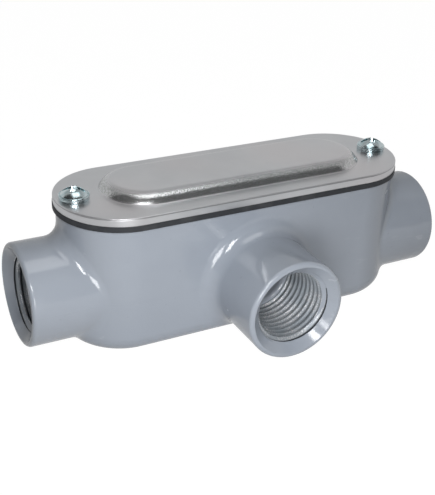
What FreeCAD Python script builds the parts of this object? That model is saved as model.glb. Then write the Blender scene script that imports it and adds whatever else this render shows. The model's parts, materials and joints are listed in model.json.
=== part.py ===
# Type T conduit body for 1/2 in threaded conduit: a die-cast aluminium housing with two run
# hubs in line and a branch hub on its long side, closed by a gasket and a stamped cover that
# two round-head screws hold down.
#
# Frame: the origin is the middle of the flat back face. X runs along the two run hubs, the
# branch hub points to -Y and the cover faces +Z. All sizes are in millimetres.
import FreeCAD, Part
import math
import os

import Sketcher

Vector = FreeCAD.Vector

doc = FreeCAD.newDocument("ConduitBody")

# ---------------------------------------------------------------- driving sizes
SIZES = {
    # housing
    "body_length": "101.6",
    "body_width": "33.6",
    "body_height": "37.0",
    "floor_thickness": "3.0",
    "side_wall": "3.0",
    "back_edge_round": "5.4",
    "end_wall": "9.5",
    "cavity_corner": "4.0",
    "cavity_floor_round": "2.5",
    # hubs
    "hub_radius": "14.0",
    "hub_axis_height": "15.9",
    "run_hub_projection": "12.3",
    "branch_hub_projection": "20.5",
    "hub_rim_round": "1.0",
    "run_blend_radius": "4.0",
    "branch_blend_radius": "4.5",
    "bore_radius": "10.6",
    "run_bore_depth": "18.6",
    "branch_bore_depth": "19.8",
    "lead_in_width": "2.1",
    "lead_in_depth": "2.1",
    "lip_radius": "8.0",
    "lip_round": "1.2",
    # gasket and cover
    "gasket_thickness": "1.5",
    "gasket_overhang": "0.8",
    "gasket_opening_margin": "0.6",
    "cover_thickness": "2.2",
    "cover_overhang": "0.65",
    "cover_edge_round": "0.3",
    "panel_margin_side": "5.4",
    "panel_margin_end": "12.3",
    "panel_slope_width": "1.85",
    "panel_height": "2.6",
    "panel_base_round": "0.5",
    "panel_crown_round": "4.0",
    # cover screws, 8-32 round head
    "screw_inset": "4.3",
    "screw_radius": "2.08",
    "screw_length": "9.5",
    "screw_head_radius": "4.05",
    "screw_head_height": "3.1",
    "screw_head_rim": "0.9",
    "screw_slot_width": "1.2",
    "screw_slot_depth": "1.2",
    "screw_tip_chamfer": "0.6",
    "left_screw_turn": "35",
    "right_screw_turn": "70",
    "tapped_hole_clearance": "0.06",
    "tapped_hole_spare": "1.2",
    "cover_hole_clearance": "0.25",
}

# Sizes that follow from the driving ones.
DERIVED = {
    "run_hub_reach": "=body_length / 2 + run_hub_projection",
    "branch_hub_reach": "=body_width / 2 + branch_hub_projection",
    "screw_spacing": "=body_length - 2 * screw_inset",
    "cavity_length": "=body_length - 2 * end_wall",
    "cover_length": "=body_length + 2 * cover_overhang",
    "cover_width": "=body_width + 2 * cover_overhang",
    "gasket_length": "=body_length + 2 * gasket_overhang",
    "gasket_width": "=body_width + 2 * gasket_overhang",
    "cavity_width": "=body_width - 2 * side_wall",
    "window_length": "=cavity_length + 2 * gasket_opening_margin",
    "window_width": "=cavity_width + 2 * gasket_opening_margin",
    "window_corner": "=cavity_corner + gasket_opening_margin",
    "gasket_top": "=body_height + gasket_thickness",
    "cover_top": "=gasket_top + cover_thickness",
    "screw_top": "=cover_top + screw_head_height",
    "panel_length": "=cover_length - 2 * panel_margin_end",
    "panel_width": "=cover_width - 2 * panel_margin_side",
    "panel_slope_angle": "=atan(panel_slope_width / panel_height)",
    "recess_inset": "=cover_thickness * tan(atan(panel_height / panel_slope_width) / 2)",
    "recess_length": "=panel_length - 2 * recess_inset",
    "recess_width": "=panel_width - 2 * recess_inset",
    "tapped_radius": "=screw_radius + tapped_hole_clearance",
    "tapped_depth": "=screw_length - cover_thickness - gasket_thickness + tapped_hole_spare",
    "cover_hole_radius": "=screw_radius + cover_hole_clearance",
}

sheet = doc.addObject("Spreadsheet::Sheet", "Sizes")
for row, (name, text) in enumerate(list(SIZES.items()) + list(DERIVED.items()), start=1):
    sheet.set(f"A{row}", name)
    sheet.setAlias(f"B{row}", name)
    sheet.set(f"B{row}", text)
doc.recompute()


def size(name):
    """Value of one size from the sheet, in millimetres."""
    return float(sheet.get(name))


# ---------------------------------------------------------------- shared ways of drawing
def new_body(label):
    body = doc.addObject("PartDesign::Body", label)
    body.Label = label
    return body


def new_sketch(body, name, plane, along_normal=None, upward=None):
    """Sketch on one of the body's origin planes, shifted by sheet values where they are given."""
    sketch = body.newObject("Sketcher::SketchObject", name)
    origin_planes = {feature.Role: feature for feature in body.Origin.OriginFeatures}
    sketch.AttachmentSupport = (origin_planes[plane], [""])
    sketch.MapMode = "FlatFace"
    if along_normal:
        sketch.setExpression("AttachmentOffset.Base.z", f"Sizes.{along_normal}")
    if upward:
        sketch.setExpression("AttachmentOffset.Base.y", f"Sizes.{upward}")
    return sketch


def drive(sketch, constraint, name, formula):
    """Add a dimension to a sketch, name it and bind it to the sheet."""
    index = sketch.addConstraint(constraint)
    sketch.renameConstraint(index, name)
    sketch.setExpression(f"Constraints.{name}", formula)


def draw_circle(sketch, name, centre, radius, x_formula, y_formula, radius_formula):
    """One circle, its centre measured from the sketch's origin."""
    circle = sketch.addGeometry(Part.Circle(Vector(*centre, 0), Vector(0, 0, 1), radius))
    if x_formula == "0":
        sketch.addConstraint(Sketcher.Constraint("PointOnObject", circle, 3, -2))
    else:
        across = Sketcher.Constraint("DistanceX", -1, 1, circle, 3, centre[0])
        drive(sketch, across, f"{name}_across", x_formula)
    if y_formula == "0":
        sketch.addConstraint(Sketcher.Constraint("PointOnObject", circle, 3, -1))
    else:
        up = Sketcher.Constraint("DistanceY", -1, 1, circle, 3, centre[1])
        drive(sketch, up, f"{name}_up", y_formula)
    drive(sketch, Sketcher.Constraint("Radius", circle, radius), f"{name}_radius", radius_formula)


def draw_stadium(sketch, piece):
    """Two straight sides joined by half circles, centred on the origin and long in X."""
    end = size(f"{piece}_width") / 2
    reach = size(f"{piece}_length") / 2 - end
    up = Vector(0, 0, 1)
    right_circle = Part.Circle(Vector(reach, 0, 0), up, end)
    left_circle = Part.Circle(Vector(-reach, 0, 0), up, end)
    right = sketch.addGeometry(Part.ArcOfCircle(right_circle, -math.pi / 2, math.pi / 2))
    left = sketch.addGeometry(Part.ArcOfCircle(left_circle, math.pi / 2, 3 * math.pi / 2))
    top = sketch.addGeometry(Part.LineSegment(Vector(reach, end, 0), Vector(-reach, end, 0)))
    low = sketch.addGeometry(Part.LineSegment(Vector(-reach, -end, 0), Vector(reach, -end, 0)))
    for first, second in ((right, top), (top, left), (left, low), (low, right)):
        sketch.addConstraint(Sketcher.Constraint("Tangent", first, 2, second, 1))
    sketch.addConstraint(Sketcher.Constraint("Symmetric", left, 3, right, 3, -1, 1))
    sketch.addConstraint(Sketcher.Constraint("PointOnObject", right, 3, -1))
    drive(sketch, Sketcher.Constraint("Radius", right, end), "end_radius",
          f"Sizes.{piece}_width / 2")
    drive(sketch, Sketcher.Constraint("DistanceX", left, 3, right, 3, 2 * reach),
          "between_centres", f"Sizes.{piece}_length - Sizes.{piece}_width")


def draw_round_rectangle(sketch, piece):
    """Rectangle with rounded corners, centred on the origin."""
    corner = size(f"{piece}_corner")
    across = size(f"{piece}_length") / 2 - corner
    up = size(f"{piece}_width") / 2 - corner
    arcs = []
    for quarter, (right, top) in enumerate(((1, 1), (-1, 1), (-1, -1), (1, -1))):
        circle = Part.Circle(Vector(right * across, top * up, 0), Vector(0, 0, 1), corner)
        start = quarter * math.pi / 2
        arcs.append(sketch.addGeometry(Part.ArcOfCircle(circle, start, start + math.pi / 2)))
    for quarter in range(4):
        arc = arcs[quarter]
        following = arcs[(quarter + 1) % 4]
        start = sketch.getPoint(arc, 2)
        end = sketch.getPoint(following, 1)
        line = sketch.addGeometry(Part.LineSegment(start, end))
        sketch.addConstraint(Sketcher.Constraint("Tangent", arc, 2, line, 1))
        sketch.addConstraint(Sketcher.Constraint("Tangent", line, 2, following, 1))
        direction = "Horizontal" if quarter % 2 == 0 else "Vertical"
        sketch.addConstraint(Sketcher.Constraint(direction, line))
    for arc in arcs[1:3]:
        sketch.addConstraint(Sketcher.Constraint("Equal", arcs[0], arc))
    sketch.addConstraint(Sketcher.Constraint("Symmetric", arcs[0], 3, arcs[2], 3, -1, 1))
    drive(sketch, Sketcher.Constraint("Radius", arcs[0], corner), "corner",
          f"Sizes.{piece}_corner")
    drive(sketch, Sketcher.Constraint("DistanceX", arcs[1], 3, arcs[0], 3, 2 * across),
          "across", f"Sizes.{piece}_length - 2 * Sizes.{piece}_corner")
    drive(sketch, Sketcher.Constraint("DistanceY", arcs[3], 3, arcs[0], 3, 2 * up),
          "up", f"Sizes.{piece}_width - 2 * Sizes.{piece}_corner")


def draw_chain(sketch, points, dome_after=None):
    """Closed outline through points given by place and by the formulas of its X and Y.

    The runs are straight. After the point numbered dome_after the outline follows an arc whose
    centre lies on the sketch's vertical axis.
    """
    places = [Vector(x, y, 0) for (x, y), _, _ in points]
    runs = []
    for index, start in enumerate(places):
        end = places[(index + 1) % len(places)]
        if index == dome_after:
            rise = end.y - start.y
            radius = (start.x ** 2 + rise ** 2) / (2 * rise)
            circle = Part.Circle(Vector(0, end.y - radius, 0), Vector(0, 0, 1), radius)
            run = Part.ArcOfCircle(circle, math.acos(start.x / radius), math.pi / 2)
        else:
            run = Part.LineSegment(start, end)
        runs.append(sketch.addGeometry(run))
    for index, run in enumerate(runs):
        following = runs[(index + 1) % len(runs)]
        sketch.addConstraint(Sketcher.Constraint("Coincident", run, 2, following, 1))
    if dome_after is not None:
        sketch.addConstraint(Sketcher.Constraint("PointOnObject", runs[dome_after], 3, -2))
    for index, (place, x_formula, y_formula) in enumerate(points):
        for letter, value, formula in (("X", place[0], x_formula), ("Y", place[1], y_formula)):
            if formula is None:
                axis = -2 if letter == "X" else -1
                held = Sketcher.Constraint("PointOnObject", runs[index], 1, axis)
                sketch.addConstraint(held)
            else:
                offset = Sketcher.Constraint(f"Distance{letter}", -1, 1, runs[index], 1, value)
                drive(sketch, offset, f"corner_{index}_{letter}", formula)


def edges_where(shape, test):
    """Names of a shape's edges along which every sampled point passes a test."""
    names = []
    for number, edge in enumerate(shape.Edges, start=1):
        samples = edge.discretize(7)
        if all(test(point) for point in samples):
            names.append(f"Edge{number}")
    return names


def on(value, wanted):
    return abs(value - wanted) < 0.01


def from_run_axis(point):
    return math.hypot(point.y, point.z - size("hub_axis_height"))


def from_branch_axis(point):
    return math.hypot(point.x, point.z - size("hub_axis_height"))


def round_edges(body, name, test, radius_formula):
    """Fillet every edge of the body's last feature that passes a test."""
    doc.recompute()
    base = body.Tip
    fillet = body.newObject("PartDesign::Fillet", name)
    fillet.Base = (base, edges_where(base.Shape, test))
    fillet.setExpression("Radius", radius_formula)
    doc.recompute()
    return fillet


def pad(body, name, sketch, length_formula, symmetric=False):
    feature = body.newObject("PartDesign::Pad", name)
    feature.Profile = sketch
    feature.setExpression("Length", length_formula)
    if symmetric:
        feature.SideType = "Symmetric"
    doc.recompute()
    return feature


def pocket(body, name, sketch, length_formula):
    """Cut from the sketch against its normal, and make sure that metal really goes."""
    before = body.Tip.Shape.Volume
    feature = body.newObject("PartDesign::Pocket", name)
    feature.Profile = sketch
    feature.setExpression("Length", length_formula)
    doc.recompute()
    if feature.Shape.Volume > before - 0.01:
        raise RuntimeError(f"{name} removes nothing")
    return feature


# ---------------------------------------------------------------- body casting
def make_housing(body):
    """Oval block with a rounded back edge."""
    outline = new_sketch(body, "HousingOutline", "XY_Plane")
    draw_stadium(outline, "body")
    pad(body, "Housing", outline, "Sizes.body_height")
    round_edges(body, "BackEdge", lambda point: on(point.z, 0), "Sizes.back_edge_round")


def make_hubs(body):
    """Run hubs as one round bar through the block, and the branch hub out of its long side."""
    axis = size("hub_axis_height")
    run_circle = new_sketch(body, "RunHubCircle", "YZ_Plane")
    draw_circle(run_circle, "hub", (0, axis), size("hub_radius"),
                "0", "Sizes.hub_axis_height", "Sizes.hub_radius")
    pad(body, "RunHubs", run_circle, "2 * Sizes.run_hub_reach", symmetric=True)
    branch_circle = new_sketch(body, "BranchHubCircle", "XZ_Plane")
    draw_circle(branch_circle, "hub", (0, axis), size("hub_radius"),
                "0", "Sizes.hub_axis_height", "Sizes.hub_radius")
    pad(body, "BranchHub", branch_circle, "Sizes.branch_hub_reach")


def blend_hubs(body):
    """Cast fillets where the hubs leave the housing, and rounded rims at the hub faces."""
    radius = size("hub_radius")
    run_reach = size("run_hub_reach")
    branch_reach = size("branch_hub_reach")

    def run_root(point):
        return on(from_run_axis(point), radius) and abs(point.x) < run_reach - 0.01

    def branch_root(point):
        return on(from_branch_axis(point), radius) and point.y > -branch_reach + 0.01

    def hub_rim(point):
        return on(abs(point.x), run_reach) or on(point.y, -branch_reach)

    round_edges(body, "RunBlends", run_root, "Sizes.run_blend_radius")
    round_edges(body, "BranchBlend", branch_root, "Sizes.branch_blend_radius")
    round_edges(body, "HubRims", hub_rim, "Sizes.hub_rim_round")


def hollow_housing(body):
    """Open chamber from the rim down to the floor, with rounded corners."""
    opening = new_sketch(body, "ChamberOutline", "XY_Plane", along_normal="body_height")
    draw_round_rectangle(opening, "cavity")
    pocket(body, "Chamber", opening, "Sizes.body_height - Sizes.floor_thickness")
    floor = size("floor_thickness")
    side = size("cavity_width") / 2
    end = size("cavity_length") / 2

    def floor_corner(point):
        inside = abs(point.x) < end + 0.01 and abs(point.y) < side + 0.01
        return on(point.z, floor) and inside

    round_edges(body, "ChamberFloorEdge", floor_corner, "Sizes.cavity_floor_round")


def bore_profile(reach, depth, inner_end):
    """Half section of a hub bore: lead-in cone, thread wall, shoulder and bushing lip."""
    face = size(reach)
    bore = size("bore_radius")
    lip = size("lip_radius")
    cone = size("lead_in_depth")
    shoulder = face - size(depth)
    mouth = bore + size("lead_in_width")
    end = size(inner_end) / 2 - size("cavity_corner")
    face_formula = f"Sizes.{reach}"
    shoulder_formula = f"Sizes.{reach} - Sizes.{depth}"
    end_formula = f"Sizes.{inner_end} / 2 - Sizes.cavity_corner"
    return [
        ((face, 0), face_formula, None),
        ((face, mouth), face_formula, "Sizes.bore_radius + Sizes.lead_in_width"),
        ((face - cone, bore), f"{face_formula} - Sizes.lead_in_depth", "Sizes.bore_radius"),
        ((shoulder, bore), shoulder_formula, "Sizes.bore_radius"),
        ((shoulder, lip), shoulder_formula, "Sizes.lip_radius"),
        ((end, lip), end_formula, "Sizes.lip_radius"),
        ((end, 0), end_formula, None),
    ]


def groove(body, name, sketch):
    before = body.Tip.Shape.Volume
    feature = body.newObject("PartDesign::Groove", name)
    feature.Profile = sketch
    feature.ReferenceAxis = (sketch, ["H_Axis"])
    feature.Angle = 360
    doc.recompute()
    if feature.Shape.Volume > before - 0.01:
        raise RuntimeError(f"{name} removes nothing")
    return feature


def bore_hubs(body):
    """Stepped bores of the three hubs. The run bores are one profile and its mirror image."""
    run_section = new_sketch(body, "RunBoreSection", "XZ_Plane", upward="hub_axis_height")
    draw_chain(run_section, bore_profile("run_hub_reach", "run_bore_depth", "cavity_length"))
    run_bore = groove(body, "RightBore", run_section)
    mirror_planes = {feature.Role: feature for feature in body.Origin.OriginFeatures}
    mirrored = body.newObject("PartDesign::Mirrored", "LeftBore")
    mirrored.Originals = [run_bore]
    mirrored.MirrorPlane = (mirror_planes["YZ_Plane"], [""])
    body.Tip = mirrored
    doc.recompute()
    branch_section = new_sketch(body, "BranchBoreSection", "YZ_Plane", upward="hub_axis_height")
    outward = [((-place[0], place[1]), f"-({along})", across) for place, along, across
               in bore_profile("branch_hub_reach", "branch_bore_depth", "cavity_width")]
    draw_chain(branch_section, outward)
    groove(body, "BranchBore", branch_section)


def round_lips(body):
    """Smooth bushing lips, so that wires pulled over them are not cut."""
    lip = size("lip_radius")
    run_shoulder = size("run_hub_reach") - size("run_bore_depth")
    branch_shoulder = size("branch_hub_reach") - size("branch_bore_depth")
    end_wall = size("cavity_length") / 2
    side_wall = size("cavity_width") / 2

    def lip_edge(point):
        run_edge = on(abs(point.x), run_shoulder) or on(abs(point.x), end_wall)
        branch_edge = on(point.y, -branch_shoulder) or on(point.y, -side_wall)
        return (run_edge and on(from_run_axis(point), lip)) or (
            branch_edge and on(from_branch_axis(point), lip))

    round_edges(body, "BushingLips", lip_edge, "Sizes.lip_round")


def screw_circles(body, name, lift, radius):
    """Two circles at the cover screws' places."""
    circles = new_sketch(body, name, "XY_Plane", along_normal=lift)
    reach = size("screw_spacing") / 2
    for side, sign in (("left", "-"), ("right", "")):
        across = float(f"{sign}{reach}")
        draw_circle(circles, side, (across, 0), size(radius),
                    f"{sign}Sizes.screw_spacing / 2", "0", f"Sizes.{radius}")
    return circles


def make_body_casting():
    body = new_body("body_casting")
    make_housing(body)
    make_hubs(body)
    blend_hubs(body)
    hollow_housing(body)
    bore_hubs(body)
    round_lips(body)
    holes = screw_circles(body, "TappedHoleCircles", "body_height", "tapped_radius")
    pocket(body, "TappedHoles", holes, "Sizes.tapped_depth")
    return body


# ---------------------------------------------------------------- gasket
def make_gasket():
    """Flat ring that follows the rim, open over the chamber."""
    body = new_body("gasket")
    outline = new_sketch(body, "GasketOutline", "XY_Plane", along_normal="body_height")
    draw_stadium(outline, "gasket")
    pad(body, "Ring", outline, "Sizes.gasket_thickness")
    window = new_sketch(body, "GasketWindow", "XY_Plane", along_normal="gasket_top")
    draw_round_rectangle(window, "window")
    pocket(body, "Window", window, "Sizes.gasket_thickness")
    holes = screw_circles(body, "GasketHoles", "gasket_top", "cover_hole_radius")
    pocket(body, "ScrewHoles", holes, "Sizes.gasket_thickness")
    return body


# ---------------------------------------------------------------- cover
def make_cover():
    """Stamped sheet: flat flange with a rounded edge and one long raised panel."""
    body = new_body("cover")
    outline = new_sketch(body, "FlangeOutline", "XY_Plane", along_normal="gasket_top")
    draw_stadium(outline, "cover")
    pad(body, "Flange", outline, "Sizes.cover_thickness")
    flange_top = size("cover_top")
    round_edges(body, "FlangeEdge", lambda point: on(point.z, flange_top),
                "Sizes.cover_edge_round")

    panel = new_sketch(body, "PanelOutline", "XY_Plane", along_normal="cover_top")
    draw_stadium(panel, "panel")
    raised = pad(body, "RaisedPanel", panel, "Sizes.panel_height")
    raised.setExpression("TaperAngle", "-Sizes.panel_slope_angle")
    panel_top = flange_top + size("panel_height")
    panel_side = size("panel_width") / 2

    def panel_foot(point):
        return on(point.z, flange_top) and abs(point.y) < panel_side + 0.01

    round_edges(body, "PanelCrown", lambda point: on(point.z, panel_top),
                "Sizes.panel_crown_round")
    round_edges(body, "PanelFoot", panel_foot, "Sizes.panel_base_round")

    hollow = new_sketch(body, "RecessOutline", "XY_Plane", along_normal="gasket_top")
    draw_stadium(hollow, "recess")
    before = body.Tip.Shape.Volume
    recess = body.newObject("PartDesign::Pocket", "PanelRecess")
    recess.Profile = hollow
    recess.Reversed = True
    recess.setExpression("Length", "Sizes.panel_height")
    recess.setExpression("TaperAngle", "-Sizes.panel_slope_angle")
    doc.recompute()
    if recess.Shape.Volume > before - 0.01:
        raise RuntimeError("PanelRecess removes nothing")
    holes = screw_circles(body, "CoverHoles", "cover_top", "cover_hole_radius")
    pocket(body, "ScrewHoles", holes, "Sizes.cover_thickness")
    return body


# ---------------------------------------------------------------- cover screws
def make_screw(label, side, turn):
    """Round-head screw with a slot, its head seated on the cover. Its thread stays plain."""
    body = new_body(label)
    section = new_sketch(body, "ScrewSection", "XZ_Plane", upward="cover_top")
    head = size("screw_head_radius")
    height = size("screw_head_height")
    rim = size("screw_head_rim")
    shank = size("screw_radius")
    length = size("screw_length")
    tip = size("screw_tip_chamfer")
    draw_chain(section, [
        ((0, -length), None, "-Sizes.screw_length"),
        ((shank - tip, -length), "Sizes.screw_radius - Sizes.screw_tip_chamfer",
         "-Sizes.screw_length"),
        ((shank, tip - length), "Sizes.screw_radius",
         "Sizes.screw_tip_chamfer - Sizes.screw_length"),
        ((shank, 0), "Sizes.screw_radius", None),
        ((head, 0), "Sizes.screw_head_radius", None),
        ((head, rim), "Sizes.screw_head_radius", "Sizes.screw_head_rim"),
        ((0, height), None, "Sizes.screw_head_height"),
    ], dome_after=5)
    turned = body.newObject("PartDesign::Revolution", "TurnedScrew")
    turned.Profile = section
    turned.ReferenceAxis = (section, ["V_Axis"])
    turned.Angle = 360
    doc.recompute()

    slot = new_sketch(body, "SlotOutline", "XY_Plane", along_normal="screw_top")
    across = size("screw_head_radius") + size("screw_slot_width")
    half = size("screw_slot_width") / 2
    across_formula = "(Sizes.screw_head_radius + Sizes.screw_slot_width)"
    half_formula = "Sizes.screw_slot_width / 2"
    draw_chain(slot, [
        ((right * across, top * half), f"{right} * {across_formula}", f"{top} * {half_formula}")
        for right, top in ((-1, -1), (1, -1), (1, 1), (-1, 1))
    ])
    pocket(body, "Slot", slot, "Sizes.screw_slot_depth")
    body.Placement = FreeCAD.Placement(Vector(), FreeCAD.Rotation(Vector(0, 0, 1), turn))
    body.setExpression("Placement.Base.x", f"{side} * Sizes.screw_spacing / 2")
    doc.recompute()
    return body


# ---------------------------------------------------------------- build, check and write
pieces = [
    make_body_casting(),
    make_gasket(),
    make_cover(),
    make_screw("left_cover_screw", -1, size("left_screw_turn")),
    make_screw("right_cover_screw", 1, size("right_screw_turn")),
]
doc.recompute()

for item in doc.Objects:
    if {"Invalid", "Error"} & set(item.State):
        raise RuntimeError(f"{item.Label} failed: {item.State}")
for piece in pieces:
    if piece.Shape.isNull() or not piece.Shape.isValid() or len(piece.Shape.Solids) != 1:
        raise RuntimeError(f"{piece.Label} is not one valid solid")

os.makedirs("parts", exist_ok=True)
for piece in pieces:
    piece.Shape.exportStep(f"parts/{piece.Label}.step")
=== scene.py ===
import json
import math

import bmesh
import bpy
from mathutils import Matrix, Vector


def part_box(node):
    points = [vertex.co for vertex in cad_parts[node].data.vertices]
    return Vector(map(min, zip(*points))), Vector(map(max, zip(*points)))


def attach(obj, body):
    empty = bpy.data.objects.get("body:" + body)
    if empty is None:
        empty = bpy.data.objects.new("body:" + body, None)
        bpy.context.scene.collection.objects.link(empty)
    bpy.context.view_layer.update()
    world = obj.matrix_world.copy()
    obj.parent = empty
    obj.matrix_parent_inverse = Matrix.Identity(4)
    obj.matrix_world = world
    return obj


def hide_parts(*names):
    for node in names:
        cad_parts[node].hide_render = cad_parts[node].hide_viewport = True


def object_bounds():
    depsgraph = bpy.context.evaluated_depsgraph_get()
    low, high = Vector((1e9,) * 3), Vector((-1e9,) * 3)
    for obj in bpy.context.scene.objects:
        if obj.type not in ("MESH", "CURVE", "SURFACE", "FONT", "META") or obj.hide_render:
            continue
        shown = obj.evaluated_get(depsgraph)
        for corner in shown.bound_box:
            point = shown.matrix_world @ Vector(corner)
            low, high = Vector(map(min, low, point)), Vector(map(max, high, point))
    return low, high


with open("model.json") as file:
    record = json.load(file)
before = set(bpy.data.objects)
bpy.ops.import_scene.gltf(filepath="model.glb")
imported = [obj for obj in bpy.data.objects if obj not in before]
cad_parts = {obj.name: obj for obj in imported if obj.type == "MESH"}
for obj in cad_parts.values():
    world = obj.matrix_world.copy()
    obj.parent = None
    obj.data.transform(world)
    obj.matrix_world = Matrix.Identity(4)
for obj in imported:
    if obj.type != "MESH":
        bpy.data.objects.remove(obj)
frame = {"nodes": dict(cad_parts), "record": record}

cad_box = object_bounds()


# ---------------------------------------------------------------- body casting
# One die casting in aluminium: an oval housing with two hubs in line and one out of its long
# side. It is finished outside in half-gloss blue-grey enamel, which flows a little over the
# casting skin and shows the parting line of the die along the hub axes.
MM = 0.001
mounts = {mount["name"]: mount for mount in frame["record"]["mounts"]}
openings = {space["name"]: space for space in frame["record"]["physics"]["openings"]}


class Signal:
    """A shader socket that takes part in sums, so that node maths reads as an expression."""

    def __init__(self, finish, socket):
        self.finish = finish
        self.socket = socket

    def maths(self, operation, *others):
        inputs = dict(enumerate((self, *others)))
        return self.finish.node("ShaderNodeMath", {"operation": operation}, inputs)

    def __add__(self, other):
        return self.maths("ADD", other)

    __radd__ = __add__

    def __sub__(self, other):
        return self.maths("SUBTRACT", other)

    def __rsub__(self, other):
        return self * -1.0 + other

    def __mul__(self, other):
        return self.maths("MULTIPLY", other)

    __rmul__ = __mul__

    def __abs__(self):
        return self.maths("ABSOLUTE")

    def ramp(self, low, high):
        """0 below low and 1 above high, with a smooth change between them."""
        settings = {"interpolation_type": "SMOOTHSTEP"}
        inputs = {"Value": self, "From Min": low, "From Max": high}
        return self.finish.node("ShaderNodeMapRange", settings, inputs)

    def band(self, centre, half, soft):
        """1 within half of centre and 0 further off than half + soft."""
        return 1 - abs(self - centre).ramp(half, half + soft)

    def part(self, name):
        """Another output, by name or number, of the node that this socket belongs to."""
        return Signal(self.finish, self.socket.node.outputs[name])


class Finish:
    """A material, or the world, under construction."""

    def __init__(self, name, library=bpy.data.materials):
        self.material = library.new(name)
        self.material.use_nodes = True
        self.tree = self.material.node_tree
        self.tree.nodes.clear()
        place = self.node("ShaderNodeTexCoord").part("Object")
        self.place = place
        self.x = self.node("ShaderNodeSeparateXYZ", {}, {"Vector": place})
        self.y = self.x.part("Y")
        self.z = self.x.part("Z")

    def node(self, kind, settings=(), inputs=()):
        node = self.tree.nodes.new(kind)
        for name, value in dict(settings).items():
            setattr(node, name, value)
        for name, value in dict(inputs).items():
            if isinstance(value, Signal):
                self.tree.links.new(value.socket, node.inputs[name])
            else:
                node.inputs[name].default_value = value
        return Signal(self, node.outputs[0] if node.outputs else None)

    def noise(self, per_metre, detail=2.0, roughness=0.5, stretch=(1, 1, 1)):
        spread = self.node("ShaderNodeMapping", {}, {"Vector": self.place, "Scale": stretch})
        return self.node("ShaderNodeTexNoise", {}, {
            "Vector": spread, "Scale": per_metre, "Detail": detail, "Roughness": roughness})

    def mix(self, factor, first, second):
        """Blend of two colours, which are the Mix node's sockets 6 and 7 in and 2 out."""
        colours = {0: factor, 6: first, 7: second}
        return self.node("ShaderNodeMix", {"data_type": "RGBA"}, colours).part(2)

    def bump(self, height, depth):
        return self.node("ShaderNodeBump", {}, {
            "Height": height, "Distance": depth, "Strength": 1.0})

    def surface(self, **sockets):
        inputs = {name.replace("_", " "): value for name, value in sockets.items()}
        shader = self.node("ShaderNodeBsdfPrincipled", {}, inputs)
        self.node("ShaderNodeOutputMaterial", {}, {"Surface": shader})
        return self.material


def smooth_twin(node, name, crease):
    """Copy of a CAD node with its triangles joined and shaded round between creases."""
    shape = bmesh.new()
    shape.from_mesh(frame["nodes"][node].data)
    bmesh.ops.remove_doubles(shape, verts=shape.verts, dist=0.002 * MM)
    for face in shape.faces:
        face.smooth = True
    for edge in shape.edges:
        edge.smooth = edge.calc_face_angle(0.0) < math.radians(crease)
    return finished(shape, name)


def finished(shape, name):
    """Object at the origin that holds a bmesh and rides on the row's one body."""
    mesh = bpy.data.meshes.new(name)
    shape.to_mesh(mesh)
    shape.free()
    for layer in ("custom_normal", "sharp_face"):
        if layer in mesh.attributes:
            mesh.attributes.remove(mesh.attributes[layer])
    piece = bpy.data.objects.new(name, mesh)
    bpy.context.scene.collection.objects.link(piece)
    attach(piece, "root")
    return piece


def level_flats(piece):
    """Let the flat faces keep their true direction beside the fillets."""
    modifier = piece.modifiers.new("LevelFlats", "WEIGHTED_NORMAL")
    modifier.keep_sharp = True
    modifier.weight = 60


# Box of the painted shade inside the chamber: margin past the chamber, soft edge, and the heights
# where the shade starts and where it is full.
CHAMBER_SHADE_MARGIN = 1.5 * MM
CHAMBER_SHADE_EDGE = 0.05 * MM
CHAMBER_SHADE_FOOT = 2.7 * MM
CHAMBER_SHADE_FULL = 2.9 * MM


def enamel_finish():
    """Outside enamel, and painted shade inside the chamber, where a dark colour stands for its
    shadow.
    """
    finish = Finish("BlueGreyEnamel")
    axis_height = mounts["branch_hub"]["pos_m"][2]
    cloud = finish.noise(38, 3.0)
    speck = finish.noise(900, 2.0).ramp(0.70, 0.78)
    scuff = finish.noise(260, 2.0, 0.6, (0.25, 1, 1)).ramp(0.69, 0.74)
    tone = finish.mix(cloud.ramp(0.3, 0.7), (0.345, 0.381, 0.438, 1), (0.375, 0.411, 0.468, 1))
    tone = finish.mix(speck * 0.22, tone, (0.21, 0.23, 0.26, 1))
    tone = finish.mix(scuff * 0.12, tone, (0.60, 0.62, 0.64, 1))
    half_length, half_width = openings["wiring_chamber"]["box_m"][1][:2]
    end = half_length + CHAMBER_SHADE_MARGIN
    side = half_width + CHAMBER_SHADE_MARGIN
    within_length = 1 - abs(finish.x).ramp(end, end + CHAMBER_SHADE_EDGE)
    within_width = 1 - abs(finish.y).ramp(side, side + CHAMBER_SHADE_EDGE)
    # Painted shade: the inside of the chamber is coloured near black where it lies in shadow.
    inside = within_length * within_width * finish.z.ramp(CHAMBER_SHADE_FOOT, CHAMBER_SHADE_FULL)
    tone = finish.mix(inside, tone, (0.085, 0.10, 0.105, 1))
    peel = finish.noise(330, 2.0, 0.5)
    parting = finish.z.band(axis_height, 0.04 * MM, 0.16 * MM)
    gloss = 0.13 + (cloud - 0.5) * 0.05 + scuff * 0.15 + inside * 0.25
    normal = finish.bump(peel + parting * 0.35 + speck * 0.25, 0.05 * MM)
    return finish.surface(Base_Color=tone, Roughness=gloss, Specular_IOR_Level=0.62,
                          Normal=normal)


enamel = enamel_finish()
casting = smooth_twin("body_casting", "enamelled_casting", 28)
casting.data.materials.append(enamel)
level_flats(casting)
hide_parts("body_casting")


# ---------------------------------------------------------------- hub threads
# Tapered pipe threads, 14 to the inch, tapped straight into the casting. Enamel mist dulls them,
# painted shade darkens the grooves, and bare aluminium glints on the crests. The tap stops short of
# the shoulder and leaves a smooth band.
THREAD_PITCH = 25.4 / 14 * MM
THREAD_DEPTH = 1.10 * MM
THREAD_CREST = 0.50 * MM
THREAD_ROOT = 0.14 * MM
THREAD_SHOULDER = 3.0 * MM
PIPE_TAPER = 1 / 32
SLEEVE_GAP = 0.03 * MM
BAND_RELIEF = 0.05 * MM
MOUTH_STEP = 0.05 * MM
MOUTH_CUT = 0.02 * MM
GROOVE_SHARE = 0.45
FULL_TURN_STEPS = 72


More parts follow.
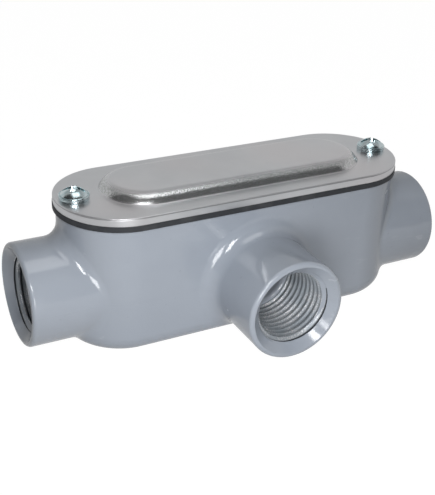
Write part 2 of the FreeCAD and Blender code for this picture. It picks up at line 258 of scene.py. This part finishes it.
def thread_sleeve(mount):
    """Bore wall with its helical ridge, closed behind where it lies against the casting."""
    wall = mount["dims"]["r_mm"] * MM
    root = wall - SLEEVE_GAP
    band = wall - THREAD_DEPTH + BAND_RELIEF
    length = mount["dims"]["length_mm"] * MM
    flank = (THREAD_PITCH - THREAD_CREST - THREAD_ROOT) / 2
    corners = [(0, 0), (THREAD_ROOT, 0), (THREAD_ROOT + flank, 1),
               (THREAD_PITCH - flank, 1), (THREAD_PITCH, 0)]
    full_end = length - THREAD_SHOULDER
    shape = bmesh.new()
    shade = shape.verts.layers.float.new("groove")
    painted = shape.verts.layers.float.new("painted")
    outline = [shape.verts.new((root - THREAD_DEPTH * rise, 0, along - 2 * THREAD_PITCH))
               for along, rise in corners]
    edges = [shape.edges.new(pair) for pair in zip(outline, outline[1:])]
    bmesh.ops.subdivide_edges(shape, edges=edges, cuts=2)
    turns = math.ceil(length / THREAD_PITCH) + 3
    bmesh.ops.spin(shape, geom=shape.verts[:] + shape.edges[:], cent=(0, 0, 0), axis=(0, 0, 1),
                   dvec=(0, 0, THREAD_PITCH / FULL_TURN_STEPS), angle=turns * math.tau,
                   steps=turns * FULL_TURN_STEPS)
    bmesh.ops.remove_doubles(shape, verts=shape.verts, dist=0.003 * MM)

    for vert in shape.verts:
        depth = vert.co.z
        radius = vert.co.xy.length
        fade = min(max((depth - full_end) / THREAD_PITCH, 0), 1)
        # The groove value sets painted shade: it darkens the colour towards the thread root.
        shelter = 1 - (root - radius) / (GROOVE_SHARE * THREAD_DEPTH)
        vert[shade] = min(max(shelter, 0), 1) * (1 - fade)
        shaped = radius - min(max(depth, 0), full_end) * PIPE_TAPER
        shaped = min(shaped, root + (band - root) * fade)
        cone = root + MOUTH_STEP - max(depth, 0)
        vert[painted] = 1 if cone > shaped else 0
        vert.co.xy *= max(shaped, cone) / radius
    for height, side in ((-MOUTH_CUT, -1), (length, 1)):
        bmesh.ops.bisect_plane(shape, geom=shape.verts[:] + shape.edges[:] + shape.faces[:],
                               plane_co=(0, 0, height), plane_no=(0, 0, side), clear_outer=True)
    inner = [edge for edge in shape.edges if edge.is_boundary and edge.verts[0].co.z > length / 2]
    ring = bmesh.ops.extrude_edge_only(shape, edges=inner)["geom"]
    for vert in (item for item in ring if isinstance(item, bmesh.types.BMVert)):
        vert.co.xy *= wall / vert.co.xy.length
    rims = [edge for edge in shape.edges if edge.is_boundary]
    bmesh.ops.bridge_loops(shape, edges=rims)
    bmesh.ops.recalc_face_normals(shape, faces=shape.faces)
    for face in shape.faces:
        face.smooth = True
        face.material_index = 1 if all(vert[painted] for vert in face.verts) else 0
    for edge in shape.edges:
        edge.smooth = edge.calc_face_angle(0.0) < math.radians(32)
    inward = -Vector(mount["axis"])
    turn = Vector((0, 0, 1)).rotation_difference(inward).to_matrix().to_4x4()
    bmesh.ops.transform(shape, verts=shape.verts,
                        matrix=Matrix.Translation(mount["pos_m"]) @ turn)
    return shape


def thread_finish():
    """Tapped metal with painted shade darkening its grooves, and bare in places on its crests."""
    finish = Finish("TappedAluminium")
    groove = finish.node("ShaderNodeAttribute", {"attribute_name": "groove"}).part("Fac")
    torn = finish.noise(3600, 3.0, 0.65)
    cloud = finish.noise(140, 2.0)
    bare = finish.noise(3200, 2.0).ramp(0.50, 0.60) * (1 - groove) * cloud.ramp(0.40, 0.58)
    tone = finish.mix(cloud.ramp(0.35, 0.65), (0.31, 0.345, 0.38, 1), (0.39, 0.425, 0.46, 1))
    tone = finish.mix(bare * 0.7, tone, (0.86, 0.84, 0.84, 1))
    # Painted shade: the grooves are coloured near black where they lie in shadow.
    tone = finish.mix(groove.ramp(0.15, 0.75) * 0.95, tone, (0.014, 0.017, 0.022, 1))
    normal = finish.bump(torn, 0.05 * MM)
    return finish.surface(Base_Color=tone, Metallic=0.25 + bare * 0.5,
                          Roughness=0.30 + torn * 0.20, Normal=normal)


tapped_aluminium = thread_finish()
for hub in ("left_hub", "right_hub", "branch_hub"):
    threads = finished(thread_sleeve(mounts[hub]), hub + "_threads")
    threads.data.materials.append(tapped_aluminium)
    threads.data.materials.append(enamel)


# ---------------------------------------------------------------- gasket
# Flat black rubber, die-cut from sheet. It lies on the rim of the casting, shows as a thin dark
# line all round, and is held down by the cover.

def rubber_finish():
    finish = Finish("CutRubber")
    grain = finish.noise(1600, 2.0)
    dust = finish.noise(220, 3.0)
    tone = finish.mix(dust.ramp(0.45, 0.75), (0.022, 0.025, 0.030, 1), (0.045, 0.048, 0.052, 1))
    return finish.surface(Base_Color=tone, Roughness=0.55 + dust * 0.2,
                          Normal=finish.bump(grain, 0.05 * MM))


seal = smooth_twin("gasket", "rubber_gasket", 30)
seal.data.materials.append(rubber_finish())
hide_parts("gasket")


# ---------------------------------------------------------------- cover
# Stamped sheet steel, galvanised, with a raised oval panel. The press burnishes the flange and
# leaves the drawn slopes spangled, and a fine dark line is painted along the edge as its dark
# reflection, over a slight groove in the bump.
FLANGE_THICKNESS = 2.2 * MM


def cover_finish():
    finish = Finish("GalvanisedSheet")
    low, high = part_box("cover")
    flange = low.z + FLANGE_THICKNESS
    slope = finish.z.ramp(flange + 0.15 * MM, flange + 0.7 * MM) * (
        1 - finish.z.ramp(high.z - 0.7 * MM, high.z - 0.1 * MM))
    spangle = finish.noise(2300, 2.0, 0.6)
    # Painted reflection: a dark band along the edge's rounding, which is also cut in slightly as a
    # bump.
    edge_reflection_band = finish.z.band(flange - 0.30 * MM, 0.05 * MM, 0.14 * MM)
    cloud = finish.noise(60, 3.0)
    tone = finish.mix(cloud.ramp(0.3, 0.7), (0.560, 0.572, 0.590, 1), (0.625, 0.636, 0.652, 1))
    tone = finish.mix(finish.noise(24, 1.0).ramp(0.45, 0.65) * 0.5, tone, (0.64, 0.60, 0.605, 1))
    tone = finish.mix(slope * spangle.ramp(0.40, 0.60) * 0.7, tone, (0.36, 0.39, 0.37, 1))
    # Painted reflection: the dark band along the edge.
    tone = finish.mix(edge_reflection_band * 0.6, tone, (0.16, 0.16, 0.17, 1))
    gloss = 0.29 + (cloud - 0.5) * 0.08 - slope * 0.11
    height = spangle * (0.12 + slope * 0.9) - edge_reflection_band * 0.8
    return finish.surface(Base_Color=tone, Metallic=0.85, Roughness=gloss,
                          Normal=finish.bump(height, 0.05 * MM))


lid = smooth_twin("cover", "stamped_cover", 32)
lid.data.materials.append(cover_finish())
level_flats(lid)
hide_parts("cover")


# ---------------------------------------------------------------- cover screws
# Two 8-32 round-head screws in bright blue zinc. The head has a collar under its dome, and a
# slot with a cross recess, so that either driver fits. A plain shank stands for the thread.
SHANK_RADIUS = 2.08 * MM
TIP_RADIUS = 1.5 * MM
TIP_HEIGHT = 0.6 * MM

def screw_head(low, high, flange):
    """Round head: a collar with a beaded lip, and a dome that springs from inside the bead."""
    radius = (high.x - low.x) / 2
    height = high.z - flange
    collar = 0.43 * height
    spring = radius - 0.40 * MM
    profile = [(0, 0), (radius - 0.15 * MM, 0), (radius - 0.07 * MM, 0.1 * MM),
               (radius - 0.11 * MM, collar - 0.55 * MM), (radius - 0.03 * MM, collar - 0.42 * MM),
               (radius, collar - 0.30 * MM), (radius, collar - 0.18 * MM),
               (radius - 0.08 * MM, collar - 0.06 * MM), (radius - 0.20 * MM, collar),
               (radius - 0.32 * MM, collar - 0.04 * MM), (spring, collar - 0.10 * MM)]
    rise = height - collar
    dome_radius = (spring ** 2 + rise ** 2) / (2 * rise)
    reach = math.asin(spring / dome_radius)
    for step in range(13):
        angle = reach * (1 - step / 12)
        profile.append((dome_radius * math.sin(angle),
                        height - dome_radius + dome_radius * math.cos(angle)))
    shape = bmesh.new()
    verts = [shape.verts.new((across, 0, up)) for across, up in profile]
    edges = [shape.edges.new(pair) for pair in zip(verts, verts[1:])]
    bmesh.ops.spin(shape, geom=verts + edges, cent=(0, 0, 0), axis=(0, 0, 1),
                   angle=math.tau, steps=72, use_merge=True)
    bmesh.ops.remove_doubles(shape, verts=shape.verts, dist=0.002 * MM)
    bmesh.ops.recalc_face_normals(shape, faces=shape.faces)
    return shape


def cross_recess(height):
    """Slot right across the head, and a cross of shorter arms that narrow downwards."""
    cutter = bmesh.new()
    for length, width, depth, angle, taper in (
            (10.0, 1.30, 1.15, 0, 1.0),
            (5.0, 1.45, 2.3, 0, 0.35),
            (5.0, 1.45, 2.3, 90, 0.35)):
        arm = bmesh.ops.create_cube(cutter, size=1)["verts"]
        for vert in arm:
            foot = vert.co.z < 0
            vert.co.x *= length * MM * (taper if foot else 1)
            vert.co.y *= width * MM * (0.8 if foot else 1)
            vert.co.z = height - depth * MM if foot else height + 1 * MM
        bmesh.ops.rotate(cutter, verts=arm, cent=(0, 0, 0),
                         matrix=Matrix.Rotation(math.radians(angle), 3, "Z"))
    return cutter


def zinc_finish():
    finish = Finish("BlueZinc")
    cloud = finish.noise(420, 2.0)
    grain = finish.noise(2600, 2.0)
    tone = finish.mix(cloud.ramp(0.35, 0.65), (0.46, 0.58, 0.61, 1), (0.64, 0.72, 0.74, 1))
    return finish.surface(Base_Color=tone, Metallic=1.0, Roughness=0.16 + cloud * 0.10,
                          Normal=finish.bump(grain, 0.02 * MM))


def make_screw(node, name, turn):
    """One screw: its head cut for the driver, joined by its plain shank, in a node's place."""
    low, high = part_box(node)
    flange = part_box("cover")[0].z + FLANGE_THICKNESS
    centre = (low + high) / 2
    place = Matrix.Translation((centre.x, centre.y, flange)) @ Matrix.Rotation(turn, 4, "Z")
    tools = []
    for label, part in ((name + "_blank", screw_head(low, high, flange)),
                        (name + "_recess", cross_recess(high.z - flange))):
        mesh = bpy.data.meshes.new(label)
        part.to_mesh(mesh)
        part.free()
        tools.append(bpy.data.objects.new(label, mesh))
        bpy.context.scene.collection.objects.link(tools[-1])
    blank, recess = tools
    cut = blank.modifiers.new("Recess", "BOOLEAN")
    cut.operation = "DIFFERENCE"
    cut.object = recess
    cut.use_self = True
    view = bpy.context.evaluated_depsgraph_get()
    result = bmesh.new()
    result.from_mesh(blank.evaluated_get(view).to_mesh())
    shank = bmesh.ops.create_cone(result, cap_ends=True, segments=40, radius1=TIP_RADIUS,
                                  radius2=SHANK_RADIUS, depth=TIP_HEIGHT)["verts"]
    top = [vert for vert in shank if vert.co.z > 0]
    bmesh.ops.translate(result, verts=shank, vec=(0, 0, low.z - flange + TIP_HEIGHT / 2))
    bmesh.ops.translate(result, verts=top, vec=(0, 0, flange - low.z - TIP_HEIGHT))
    for tool in tools:
        bpy.data.objects.remove(tool)
    bmesh.ops.transform(result, verts=result.verts, matrix=place)
    for face in result.faces:
        face.smooth = True
    for edge in result.edges:
        edge.smooth = edge.calc_face_angle(0.0) < math.radians(24)
    piece = finished(result, name)
    piece.data.materials.append(blue_zinc)
    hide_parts(node)


blue_zinc = zinc_finish()
make_screw("left_cover_screw", "left_round_head", math.radians(-28))
make_screw("right_cover_screw", "right_round_head", math.radians(-22))


# ---------------------------------------------------------------- studio
# Pale floor and backdrop that show white, three soft lamps in front and above, and the camera
# above the left front of the body. The backdrop stands round the right side and the back.
STAGE_WHITE = 1.1
DIM_FROM = 0.75
DIM_TO = 1.0
DIM_BY = 0.25


def stage_finish(name, paint, mirrored, share):
    """Pale paint that the camera sees as white and that metal mirrors dimmer towards the top."""
    finish = Finish(name)
    mirrored = mirrored - finish.z.ramp(DIM_FROM, DIM_TO) * DIM_BY
    camera_rays = finish.node("ShaderNodeLightPath")
    seen = camera_rays + camera_rays.part("Is Glossy Ray") + camera_rays.part("Is Transmission Ray")
    matt = finish.node("ShaderNodeBsdfDiffuse", {}, {"Color": (paint, paint, paint, 1)})
    shown = mirrored + camera_rays * (STAGE_WHITE - mirrored)
    glow = finish.node("ShaderNodeEmission", {}, {"Color": shown, "Strength": 1.0})
    both = finish.node("ShaderNodeMixShader", {}, {0: seen * share, 1: matt, 2: glow})
    finish.node("ShaderNodeOutputMaterial", {}, {"Surface": both})
    return finish.material


plane = bmesh.new()
bmesh.ops.create_grid(plane, x_segments=1, y_segments=1, size=3)
bmesh.ops.translate(plane, verts=plane.verts, vec=(0, 0, cad_box[0][2] - 0.02 * MM))
floor_mesh = bpy.data.meshes.new("studio_floor")
plane.to_mesh(floor_mesh)
plane.free()
floor = bpy.data.objects.new("studio_floor", floor_mesh)
bpy.context.scene.collection.objects.link(floor)
floor.data.materials.append(stage_finish("PaleFloor", 0.50, 0.75, 0.9))


def soft_lamp(name, azimuth, elevation, distance, width, depth, watts):
    """Panel lamp at a compass angle from the front and a height angle, aimed at the body."""
    turn, tilt = math.radians(azimuth), math.radians(elevation)
    middle = Vector((0, 0, 20 * MM))
    outward = Vector((math.sin(turn) * math.cos(tilt), -math.cos(turn) * math.cos(tilt),
                      math.sin(tilt)))
    light = bpy.data.lights.new(name, "AREA")
    light.shape = "RECTANGLE"
    light.size = width
    light.size_y = depth
    light.energy = watts
    lamp = bpy.data.objects.new(name, light)
    lamp.location = middle + outward * distance
    lamp.rotation_euler = outward.to_track_quat("Z", "Y").to_euler()
    bpy.context.scene.collection.objects.link(lamp)


soft_lamp("key_lamp", -27, 33.5, 0.27, 0.11, 0.055, 0.29)
soft_lamp("left_fill", -22, 6, 0.165, 0.06, 0.05, 0.090)
soft_lamp("top_lamp", 0, 84, 0.30, 0.20, 0.16, 0.20)

backdrop = bmesh.new()
sweep = [(1.2, 0.0), (1.2, 0.6), (1.15, 0.9), (1.0, 1.2), (0.75, 1.45), (0.45, 1.6)]
stations = [backdrop.verts.new((out, 0, cad_box[0][2] + rise)) for out, rise in sweep]
for pair in zip(stations, stations[1:]):
    backdrop.edges.new(pair)
bmesh.ops.rotate(backdrop, verts=backdrop.verts, cent=(0, 0, 0),
                 matrix=Matrix.Rotation(math.radians(-30), 3, "Z"))
bmesh.ops.spin(backdrop, geom=backdrop.verts[:] + backdrop.edges[:], cent=(0, 0, 0),
               axis=(0, 0, 1), angle=math.radians(180), steps=36)
backdrop_mesh = bpy.data.meshes.new("studio_backdrop")
backdrop.to_mesh(backdrop_mesh)
backdrop.free()
wall = bpy.data.objects.new("studio_backdrop", backdrop_mesh)
bpy.context.scene.collection.objects.link(wall)
wall.data.materials.append(stage_finish("WhiteBackdrop", 0.50, 0.70, 1.0))


def studio_air(strength):
    """World that shows white to the camera and lights the part only faintly."""
    finish = Finish("Studio", bpy.data.worlds)
    faint, white = (finish.node("ShaderNodeBackground", {}, {
        "Color": (1, 1, 1, 1), "Strength": level}) for level in (strength, 1.0))
    camera_rays = finish.node("ShaderNodeLightPath")
    air = finish.node("ShaderNodeMixShader", {}, {0: camera_rays, 1: faint, 2: white})
    finish.node("ShaderNodeOutputWorld", {}, {"Surface": air})
    return finish.material


bpy.context.scene.world = studio_air(0.04)

scene = bpy.context.scene
scene.view_settings.view_transform = "Standard"

AZIMUTH = math.radians(-28.73)
ELEVATION = math.radians(27.138)
ROLL = math.radians(2.396)
DISTANCE = 274.13 * MM
TARGET = Vector((-3.97, 0, 17.79)) * MM
back = Vector((math.sin(AZIMUTH) * math.cos(ELEVATION),
               -math.cos(AZIMUTH) * math.cos(ELEVATION), math.sin(ELEVATION)))
right = (-back).cross(Vector((0, 0, 1))).normalized()
up = right.cross(-back)
across = right * math.cos(ROLL) + up * math.sin(ROLL)
upward = up * math.cos(ROLL) - right * math.sin(ROLL)
lens = bpy.data.cameras.new("camera")
lens.lens = 69.6
lens.sensor_width = 36
camera = bpy.data.objects.new("camera", lens)
turned = Matrix((across, upward, back)).transposed().to_4x4()
camera.matrix_world = Matrix.Translation(TARGET + back * DISTANCE) @ turned
bpy.context.scene.collection.objects.link(camera)
scene.camera = camera

bpy.context.view_layer.update()
